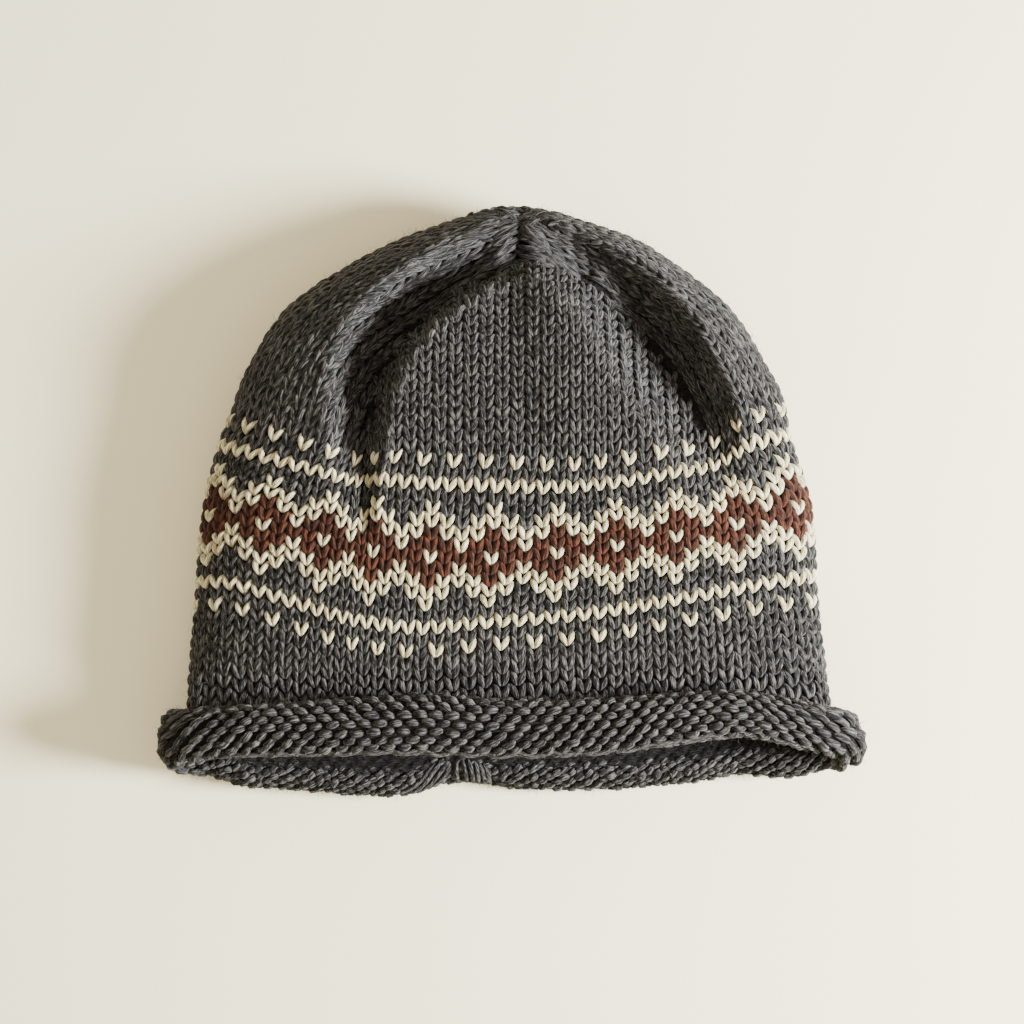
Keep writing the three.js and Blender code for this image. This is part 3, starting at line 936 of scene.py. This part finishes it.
def sweep(tree, curve, radius, along):
    """Round yarn on a curve, which stores how far along and where round it a point is."""
    curve = tree.add("GeometryNodeSetCurveRadius", Curve=curve, Radius=radius).outputs[0]
    curve = tree.store(curve, "along", along)
    ring = tree.add("GeometryNodeCurvePrimitiveCircle", Resolution=tree.inputs["Sides"],
                    Radius=1.0).outputs[0]
    ring = tree.store(ring, "ring", tree.add("GeometryNodeInputPosition").outputs[0], "POINT",
                      "FLOAT_VECTOR")
    mesh = tree.add("GeometryNodeCurveToMesh", Curve=curve, Profile_Curve=ring, Fill_Caps=True)
    tree.group.links.new(tree.add("GeometryNodeInputRadius").outputs[0], mesh.inputs["Scale"])
    return mesh.outputs[0]


def strand(tree, ends, radius, resolution=16):
    """A short bent strand. Ends names the inputs for its start, both pulls and its end, and
    radius gives its thickness from how far along it is."""
    start, start_pull, end_pull, end = (tree.inputs[name] for name in ends)
    curve = tree.add("GeometryNodeCurvePrimitiveBezierSegment", Resolution=resolution,
                     Start=start, Start_Handle=start_pull, End_Handle=end_pull, End=end)
    curve = tree.add("GeometryNodeResampleCurve", Curve=curve.outputs[0],
                     Count=tree.inputs["Steps"]).outputs[0]
    factor = tree.add("GeometryNodeSplineParameter").outputs["Factor"]
    return sweep(tree, curve, radius(factor), factor)


def loops_on_points(tree, shape):
    """The shape on every point, by the point's own directions and size, as a plain mesh."""
    turn = tree.add("FunctionNodeAxesToRotation", {"primary_axis": "Z", "secondary_axis": "Y"},
                    Primary_Axis=tree.named("out"), Secondary_Axis=tree.named("up")).outputs[0]
    wobble = tree.add("FunctionNodeRandomValue", {"data_type": "FLOAT_VECTOR"}, i0=(-1.0,) * 3,
                      i1=(1.0,) * 3, Seed=tree.inputs["Seed"]).outputs[0]
    wobble = tree.add("ShaderNodeVectorMath", {"operation": "MULTIPLY"}, i0=wobble,
                      i1=tree.inputs["Wobble"]).outputs[0]
    wobble = tree.add("FunctionNodeEulerToRotation", Euler=wobble).outputs[0]
    turn = tree.add("FunctionNodeRotateRotation", {"rotation_space": "LOCAL"}, Rotation=turn,
                    Rotate_By=wobble).outputs[0]
    placed = tree.add("GeometryNodeInstanceOnPoints", Points=tree.inputs["Geometry"],
                      Instance=shape, Rotation=turn, Scale=tree.named("size")).outputs[0]
    chance = tree.add("FunctionNodeRandomValue", {"data_type": "FLOAT"},
                      Seed=tree.inputs["Seed"]).outputs[1]
    placed = tree.store(placed, "loop", chance, "INSTANCE")
    tree.finish(tree.add("GeometryNodeRealizeInstances", Geometry=placed).outputs[0])


print("yarn can be bent, made round and set on points")

# %% The loop tree


def knit_tree():
    """The V of a knit stitch on every point. Lengths are shares of a stitch's width, height
    and thickness, which the points give."""
    tree = Tree("knit loops", {
        "Foot": (0.02, -0.66, -0.10), "Foot Pull": (0.14, -0.30, 0.24),
        "Top Pull": (0.33, 0.10, 0.24), "Top": (0.46, 0.70, -0.30),
        "Plumpness": 0.185, "Wobble": (0.1, 0.1, 0.12), "Steps": 7, "Sides": 6, "Seed": SEED,
        "Wool": None})

    def radius(factor):
        swelling = tree.math("SINE", tree.math("MULTIPLY", factor, math.pi))
        full = tree.math("MULTIPLY_ADD", tree.math("POWER", swelling, 0.7), 0.8, 0.2)
        return tree.math("MULTIPLY", full, tree.inputs["Plumpness"])

    right = strand(tree, ("Foot", "Foot Pull", "Top Pull", "Top"), radius)
    left = tree.add("GeometryNodeTransform", Geometry=right, Scale=(-1, 1, 1)).outputs[0]
    left = tree.add("GeometryNodeFlipFaces", Mesh=left).outputs[0]
    both = tree.add("GeometryNodeJoinGeometry", Geometry=right)
    tree.group.links.new(left, both.inputs[0])
    loops_on_points(tree, both.outputs[0])
    return tree.group


KNIT = knit_tree()
print("loop tree:", len(KNIT.nodes), "nodes")

# %% From points to loops


def point_object(name, places, up, out, size):
    """A mesh of loose points that carry their directions and size."""
    thing = new_object(name, places)
    give_values(thing, "FLOAT_VECTOR", "vector", up=up, out=out, size=size)
    return thing


def grow(points, group, **values):
    """Runs a tree on an object and keeps the result as its plain mesh."""
    modifier = points.modifiers.new("grow", "NODES")
    modifier.node_group = group
    for item in group.interface.items_tree:
        key = item.name.replace(" ", "_")
        if item.item_type == "SOCKET" and item.in_out == "INPUT" and key in values:
            modifier[item.identifier] = values[key]
    evaluated = points.evaluated_get(bpy.context.evaluated_depsgraph_get())
    mesh = bpy.data.meshes.new_from_object(evaluated)
    points.modifiers.remove(modifier)
    old = points.data
    points.data = mesh
    bpy.data.meshes.remove(old)
    mesh.name = points.name
    return points


def keep_above_table(piece):
    """Flattens the yarn that would go into the table."""
    heights = np.empty(len(piece.data.vertices) * 3, dtype=np.float32)
    piece.data.vertices.foreach_get("co", heights)
    heights[2::3] = np.maximum(heights[2::3], 0)
    piece.data.vertices.foreach_set("co", heights)


print("inputs of the loop tree:", [i.name for i in KNIT.interface.items_tree if i.in_out == "INPUT"])

# %% [markdown]
# ## Knitting the hat
# Each stitch follows its own column of loops: it leans towards the loop above it, also where
# two columns are knitted together. The loops are split into pieces by yarn and by the part
# of the hat they belong to.

# %% Loops on the outside
LOOP_DEPTH = 1.35
LOOP_HEIGHTS = (2.6, 5.4)
WALE_WIDTHS = (3.6, 6.4)
WALE_HALF = 0.45
WIDTH_TO_THICKNESS = 1.4
RIM_LENGTH = 1.2
PLAIN_LEG = {"Foot": (0.01, -0.92, -0.18), "Foot_Pull": (0.10, -0.48, 0.15),
             "Top_Pull": (0.35, 0.16, 0.18), "Top": (0.47, 0.76, -0.26), "Plumpness": 0.225}
RUST_LEG = {**PLAIN_LEG, "Top": (0.47, 0.82, -0.18), "Plumpness": 0.245}
CREAM_LEG = {"Foot": (0.02, -0.74, -0.12), "Top": (0.47, 0.76, -0.28), "Plumpness": 0.205}


def knitted_piece(name, chosen, material):
    """One object with the loops of the chosen stitches."""
    _, row, number, share, above, below, wide = LOOPS[chosen].T
    middle = row + 0.5
    places = on_face(*lie(number, share, middle))
    higher = on_face(*lie(number, above, np.minimum(middle + 1, LAST_ROW)))
    lower = on_face(*lie(number, below, np.maximum(middle - 1, 0)))
    out = outward(*lie(number, share, middle))
    up = higher - lower
    height = np.clip(np.linalg.norm(up, axis=1) / 2, *LOOP_HEIGHTS)
    height *= np.where((number >= 0) & (number < PANEL), RIM_LENGTH, 1)
    half = np.where(number < 0, 0, WALE_HALF)
    sides = [on_face(*lie(number + half * way, share + wide / 2 * way, middle)) for way in (1, -1)]
    aside = sides[0] - sides[1]
    aside -= unit(up) * (unit(up) * aside).sum(axis=1, keepdims=True)
    width = np.linalg.norm(aside, axis=1)
    width = np.where(number < 0, width, np.clip(width / (2 * WALE_HALF), *WALE_WIDTHS))
    size = np.stack([width, height, np.minimum(STITCH_WIDTH, WIDTH_TO_THICKNESS * width)], axis=1)
    places = places - out * (LOOP_DEPTH * size[:, 2:] / STITCH_WIDTH)
    points = point_object(name, places, unit(up), out, size * MM)
    leg = {CHARCOAL: PLAIN_LEG, CREAM: CREAM_LEG, RUST: RUST_LEG}[material]
    piece = grow(points, KNIT, Wool=material, **leg)
    keep_above_table(piece)
    return piece


loop_row, loop_yarn = LOOPS[:, 1], LOOPS[:, 0]
in_band = (loop_row >= BAND_ROWS[0]) & (loop_row < BAND_ROWS[1])
UPPER_CROWN = 38
OUTSIDE = (
    ("side_loops", loop_row < BAND_ROWS[0], CHARCOAL, "charcoal_wool"),
    ("band_loops_charcoal", in_band & (loop_yarn == 0), CHARCOAL, "charcoal_wool"),
    ("band_loops_cream", in_band & (loop_yarn == 1), CREAM, "cream_wool"),
    ("band_loops_rust", in_band & (loop_yarn == 2), RUST, "rust_wool"),
    ("lower_crown_loops", (loop_row >= BAND_ROWS[1]) & (loop_row < UPPER_CROWN), CHARCOAL,
     "charcoal_wool"),
    ("upper_crown_loops", loop_row >= UPPER_CROWN, CHARCOAL, "charcoal_wool"),
)
loop_pieces = {}
for name, chosen, material, slot in OUTSIDE:
    piece = knitted_piece(name, chosen, material)
    loop_pieces[name] = piece
    print(name, int(chosen.sum()), "stitches,", len(piece.data.polygons), "faces")

# %% [markdown]
# ## The rolled brim
# The edge curls outwards, so the roll shows the back of the knitting: short slanted bumps
# that lie like bricks. The roll's section is a spiral ribbon, and the bumps are one short
# strand each, set all over it in rows. A simulation could curl a flat edge, but the spiral
# gives the roll the size that the photograph shows. The join pinches it a little underneath.

# %% The roll's section
ROLL_DEEP = 7.4
ROLL_TURN = 1.9 * math.pi
CURL_GAP = 1.2
CURL_ROWS = 3
RIBBON_RINGS = 28
LIP_ROWS = 1.2
JOIN_X, JOIN_WIDTH, JOIN_PINCH = -13.0, 7.0, 0.16


def roll_points(share, turn, depth=0.0):
    """Points of the roll's outer face at an angle of the curl, with their directions."""
    row = lip_rows(share)
    lip = on_face(share, row)
    up = unit(on_face(share, row + LIP_ROWS) - lip)
    out = outward(share, row + LIP_ROWS / 2)
    out = unit(out - up * (out * up).sum(axis=-1, keepdims=True))
    back = out[..., 2] < 0
    pinch = np.where(back, 1 - JOIN_PINCH * np.exp(-((lip[..., 0] - JOIN_X) / JOIN_WIDTH) ** 2), 1)
    less = (WALL + CURL_GAP) * turn / (2 * math.pi) + depth
    deep = (ROLL_DEEP * pinch - less)[..., None]
    long = (roll_at(share, "long") * pinch - less)[..., None]
    cos, sin = np.cos(turn)[..., None], np.sin(turn)[..., None]
    middle = lip + out * (ROLL_DEEP * pinch - WALL)[..., None]
    point = middle - out * deep * cos - up * long * sin
    normal = unit(-out * cos / deep - up * sin / long)
    point[..., 2] = np.maximum(point[..., 2], 0)
    return point, normal, unit(out * sin * deep - up * cos * long)


def brim_cloth_piece():
    """The ribbon that the bumps sit on."""
    share = np.arange(CLOTH_COLUMNS) / CLOTH_COLUMNS
    turns = np.linspace(0, ROLL_TURN, RIBBON_RINGS)
    rings = [roll_points(share, np.full(CLOTH_COLUMNS, t), CLOTH_SINK)[0] for t in turns]
    rings += [roll_points(share, np.full(CLOTH_COLUMNS, t), WALL)[0] for t in turns[::-1]]
    roll = new_object("brim_cloth", np.concatenate(rings),
                      ring_faces(len(rings), CLOTH_COLUMNS, True), SHADED_PURL_SIDE)
    map_rings(roll, [*turns * CURL_ROWS, *turns[::-1] * CURL_ROWS], CLOTH_COLUMNS)
    return roll


brim_cloth = brim_cloth_piece()
print("roll faces:", len(brim_cloth.data.polygons))

# %% Bumps of the knitting's back
BUMP_ROW = 2.75
BUMP_TURNS = (-0.1 * math.pi, 1.86 * math.pi)
SECTION_STEPS = 400
BUMP_LOOSE = 0.3
BUMP_SIZES = (0.9, 1.1)
STRAND_ENDS = ("Start", "Start Pull", "End Pull", "End")


def purl_tree():
    """One slanted bump of purl on every point: a short strand that rises and dives again."""
    tree = Tree("purl bumps", {
        "Start": (-0.46, -0.04, -0.44), "Start Pull": (-0.30, 0.02, 0.12),
        "End Pull": (0.16, 0.06, 0.40), "End": (0.34, 0.0, -0.30), "Plumpness": 0.25,
        "Wobble": (0.12, 0.14, 0.26), "Steps": 7, "Sides": 6, "Seed": SEED, "Wool": None})

    def radius(factor):
        swelling = tree.math("POWER", factor, 1.25)
        swelling = tree.math("SINE", tree.math("MULTIPLY", swelling, math.pi))
        full = tree.math("MULTIPLY_ADD", tree.math("POWER", swelling, 0.6), 0.7, 0.3)
        return tree.math("MULTIPLY", full, tree.inputs["Plumpness"])

    loops_on_points(tree, strand(tree, STRAND_ENDS, radius))
    return tree.group


PURL = purl_tree()


def roll_turns():
    """Angles of the curl at even steps along the section."""
    turn = np.linspace(*BUMP_TURNS, SECTION_STEPS)
    section, _, _ = roll_points(np.full(SECTION_STEPS, 0.25), turn)
    length = np.concatenate([[0], np.cumsum(np.linalg.norm(np.diff(section, axis=0), axis=1))])
    count = int(length[-1] / BUMP_ROW)
    return np.interp(np.linspace(0, length[-1], count), length, turn)


LEAN_COLUMNS = ("x", "near_wall", "near_mouth", "under")
LEANS = (
    (-120, 20, 30, 24),
    (-104, 18, 34, 26),
    (-84, 4, 30, 24),
    (-71, -6, 24, 22),
    (-57, -24, 20, 22),
    (-37, -36, 6, 24),
    (-21, -32, 6, 26),
    (-7, -8, 16, 24),
    (6, 12, 24, 22),
    (29, 16, 24, 22),
    (56, 8, 12, 24),
    (69, -16, 2, 24),
    (86, -34, -18, 22),
    (106, -40, -36, 20),
    (120, -30, -30, 16),
)


def brim_bumps():
    """The bumps all over the roll. Where the cloth is pulled askew they lean another way."""
    shares, turns = [], []
    for number, turn in enumerate(roll_turns()):
        share = (np.arange(STITCHES) + 0.5 * (number % 2)) / STITCHES
        shares.append(share)
        turns.append(np.full(STITCHES, turn))
    share, turn = np.concatenate(shares), np.concatenate(turns)
    places, out, up = roll_points(share, turn)
    lean = {key: np.interp(places[:, 0], list(zip(*LEANS))[0], column)
            for key, column in zip(LEAN_COLUMNS, zip(*LEANS))}
    wall = np.clip(turn / math.pi * 2 - 1.5, 0, 1)
    front = lean["near_mouth"] * (1 - wall) + lean["near_wall"] * wall
    lean = np.radians(np.where(share % 1 < 0.5, front, lean["under"]))[:, None]
    up = up * np.cos(lean) + np.cross(out, up) * np.sin(lean)
    beside, _, _ = roll_points(share + 0.5 / STITCHES, turn)
    width = np.linalg.norm(beside - places, axis=1) * 2
    size = np.stack([width, np.full(len(share), STITCH_WIDTH), np.full(len(share), STITCH_WIDTH)],
                    axis=1)
    chance = np.random.default_rng(SEED)
    size *= chance.uniform(*BUMP_SIZES, (len(share), 1))
    loose = chance.uniform(-1, 1, (3, len(share), 1)) * BUMP_LOOSE
    places = places + up * loose[0] + np.cross(out, up) * loose[1] + out * (loose[2] - LOOP_DEPTH)
    points = point_object("brim_loops", places, up, out, size * MM)
    piece = grow(points, PURL, Wool=CHARCOAL)
    keep_above_table(piece)
    return piece


brim_loops = brim_bumps()
print("brim bumps:", len(brim_loops.data.polygons), "faces")

# %% [markdown]
# ## Yarn that lies along the brim
# The hat was cast on in a straight line and joined into a round, which leaves a small knot of
# wraps over the lower side of the roll, with slack strands beside it. Three more strands
# follow the curl along its edge. Each could be a bevelled curve, but a line of points on the
# roll carries its own thickness, and one small tree makes yarn of all of them.

# %% Join and edge
JOIN_COLUMNS = ("start_x", "start_turn", "end_x", "end_turn", "bow", "lift", "thick")
JOIN_YARNS = (
    (-18.4, -0.06, -17.6, 0.56, -0.5, 1.3, 0.8),
    (-16.6, -0.10, -15.4, 0.60, 0.7, 1.6, 0.8),
    (-15.0, -0.12, -13.2, 0.60, 1.0, 1.9, 0.85),
    (-12.6, -0.12, -12.0, 0.60, 0.9, 1.9, 0.85),
    (-11.6, -0.10, -9.4, 0.58, 1.0, 1.6, 0.8),
    (-9.8, -0.06, -7.6, 0.54, 0.8, 1.2, 0.75),
    (-22.0, -0.10, -37.5, 0.52, 1.2, 1.5, 0.85),
    (-23.8, -0.10, -41.0, 0.50, 1.4, 1.0, 0.8),
    (-20.6, -0.04, -33.0, 0.54, 1.0, 1.2, 0.8),
    (-20.0, 0.08, -29.0, 0.52, 0.8, 0.9, 0.7),
)
EDGE_COLUMNS = ("start_share", "end_share", "turn", "wave", "thick")
EDGE_YARNS = (
    (0.03, 0.47, 0.50, 0.5, 0.62),
    (0.10, 0.45, 0.56, 0.6, 0.55),
    (0.05, 0.46, 1.60, 0.5, 0.7),
)
BACK_STEPS = 300
JOIN_SINK, EDGE_SINK, EDGE_LIFT, EDGE_SWAY = 1.0, 0.6, 0.15, 0.03
TAPER, END_THICKNESS = 6, 0.3
NUMBER_START, NUMBER_STEP = 0.2, 0.37


def back_share(x):
    """How far round the roll's underside lies at x."""
    shares = np.linspace(0.5, 1, BACK_STEPS)
    along, _, _ = roll_points(shares, np.full(BACK_STEPS, 0.3))
    return np.interp(x, along[:, 0], shares)


def join_line(start_x, start_turn, end_x, end_turn, bow, lift, thick):
    """A strand over the underside of the roll."""
    t = np.linspace(0, 1, 16)
    x = start_x + (end_x - start_x) * t + bow * np.sin(math.pi * t)
    turn = (start_turn + (end_turn - start_turn) * t) * math.pi
    points, out, _ = roll_points(back_share(x), turn)
    return points + out * (lift * np.sin(math.pi * t) - JOIN_SINK)[:, None], thick


def edge_line(start_share, end_share, turn, wave, thick):
    """A strand along the upper side of the roll."""
    share = np.linspace(start_share, end_share, 150)
    sway = (np.sin(share * STITCHES * 2.1) + np.sin(share * STITCHES * 0.7)) * EDGE_SWAY
    points, out, _ = roll_points(share, (turn + sway) * math.pi)
    lift = EDGE_LIFT + wave * np.sin(share * STITCHES * math.pi)
    rise = lift * np.sin(math.pi * (share - start_share) / (end_share - start_share))
    return points + out * (rise - EDGE_SINK)[:, None], thick


def yarn_tree():
    """Round yarn along every line of a mesh, as thick as its points say."""
    tree = Tree("yarn lines", {"Sides": 8, "Wool": None})
    curve = tree.add("GeometryNodeMeshToCurve", Mesh=tree.inputs["Geometry"]).outputs[0]
    length = tree.add("GeometryNodeSplineParameter").outputs["Length"]
    stitches_long = tree.math("DIVIDE", length, STITCH_WIDTH * MM)
    tree.finish(sweep(tree, curve, tree.named("thick", "FLOAT"), stitches_long))
    return tree.group


YARN = yarn_tree()


def yarn_piece(name, lines):
    """One object with a strand for every line of points."""
    points = np.concatenate([line for line, _ in lines])
    edges, thick, chance, start = [], [], [], 0
    for number, (line, radius) in enumerate(lines):
        edges += [(start + i, start + i + 1) for i in range(len(line) - 1)]
        start += len(line)
        t = np.linspace(0, 1, len(line))
        thick.append(radius * np.minimum(np.sin(math.pi * t) * TAPER + END_THICKNESS, 1) * MM)
        chance.append(np.full(len(line), (number * NUMBER_STEP + NUMBER_START) % 1))
    thing = new_object(name, points, edges=edges)
    give_values(thing, "FLOAT", "value", thick=np.concatenate(thick), loop=np.concatenate(chance))
    grow(thing, YARN, Wool=CHARCOAL)
    keep_above_table(thing)
    return thing


join_lines = [join_line(**dict(zip(JOIN_COLUMNS, row))) for row in JOIN_YARNS]
edge_lines = [edge_line(**dict(zip(EDGE_COLUMNS, row))) for row in EDGE_YARNS]
brim_join = yarn_piece("brim_join", join_lines)
cast_on_edge = yarn_piece("cast_on_edge", edge_lines)
print("join and edge:", len(brim_join.data.polygons), len(cast_on_edge.data.polygons), "faces")

# %% [markdown]
# ## Loose fibres
# Wool is never quite smooth: fine fibres work loose and stand round the hat like a thin haze.
# They are short bent hairs, set at random over the charcoal parts and turned every way. A
# hair system could grow them, but an export keeps only meshes, so they are very thin strands.

# %% Haze of fibres
FIBRES, FIBRE_LENGTH = 9000, (1.4, 3.2)
FIBRE_ROOT = 0.3
FIBRES_LOW = 1.2
FIBRE_TURNS = (0, 1.8 * math.pi)


def fibre_tree():
    """A thin bent hair on every point."""
    tree = Tree("loose fibres", {
        "Start": (0.0, 0.0, 0.0), "Start Pull": (0.0, 0.0, 0.4), "End Pull": (0.35, 0.0, 0.75),
        "End": (0.75, 0.0, 0.7), "Plumpness": 0.018, "Wobble": (0.6, 0.6, math.pi),
        "Steps": 3, "Sides": 3, "Seed": SEED, "Wool": None})

    def radius(factor):
        return tree.math("MULTIPLY", tree.math("SUBTRACT", 1.2, factor), tree.inputs["Plumpness"])

    loops_on_points(tree, strand(tree, STRAND_ENDS, radius, resolution=8))
    return tree.group


def fibre_haze():
    """The hairs: two thirds on the crown and the plain wall, one third on the roll."""
    chance = np.random.default_rng(SEED)
    share = chance.uniform(0, 1, FIBRES)
    turn = chance.uniform(*FIBRE_TURNS, FIBRES // 3)
    on_roll, out_roll, up_roll = roll_points(share[:FIBRES // 3], turn)
    share = share[FIBRES // 3:]
    low = lip_rows(share)
    plain = BAND_ROWS[0] - low
    row = chance.uniform(0, 1, len(share)) ** FIBRES_LOW * (plain + ROWS - 1 - BAND_ROWS[1])
    row = np.where(row < plain, low + row, BAND_ROWS[1] + row - plain)
    on_crown, out_crown = on_face(share, row), outward(share, row)
    places = np.concatenate([on_roll, on_crown])
    out = np.concatenate([out_roll, out_crown])
    up = np.concatenate([up_roll, unit(on_face(share, row + 0.5) - on_crown)])
    size = chance.uniform(*FIBRE_LENGTH, (FIBRES, 1)) * np.ones(3)
    points = point_object("loose_fibres", places - out * FIBRE_ROOT, up, out, size * MM)
    haze = grow(points, fibre_tree(), Wool=CHARCOAL)
    keep_above_table(haze)
    return haze


loose_fibres = fibre_haze()
print("loose fibres:", len(loose_fibres.data.polygons), "faces")

# %% [markdown]
# ## Putting the pieces on the frame
# Everything rides on the one rigid body, and each cloth wall stands for its solid piece.

# %% Pieces on the frame
CLOTHS = ((crown_cloth, "crown"), (band_cloth, "colourwork_band"), (wall_cloth, "side_wall"),
          (brim_cloth, "rolled_brim"))
for cloth, node in CLOTHS:
    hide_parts(node)
    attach(cloth, "root")
YARNS = (*loop_pieces.values(), brim_loops, brim_join, cast_on_edge, loose_fibres)
for piece in YARNS:
    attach(piece, "root")
triangles = {o.name: sum(len(p.vertices) - 2 for p in o.data.polygons)
             for o in (*YARNS, *dict(CLOTHS))}
print("triangles:", sum(triangles.values()), "at most in a piece:", max(triangles.values()))
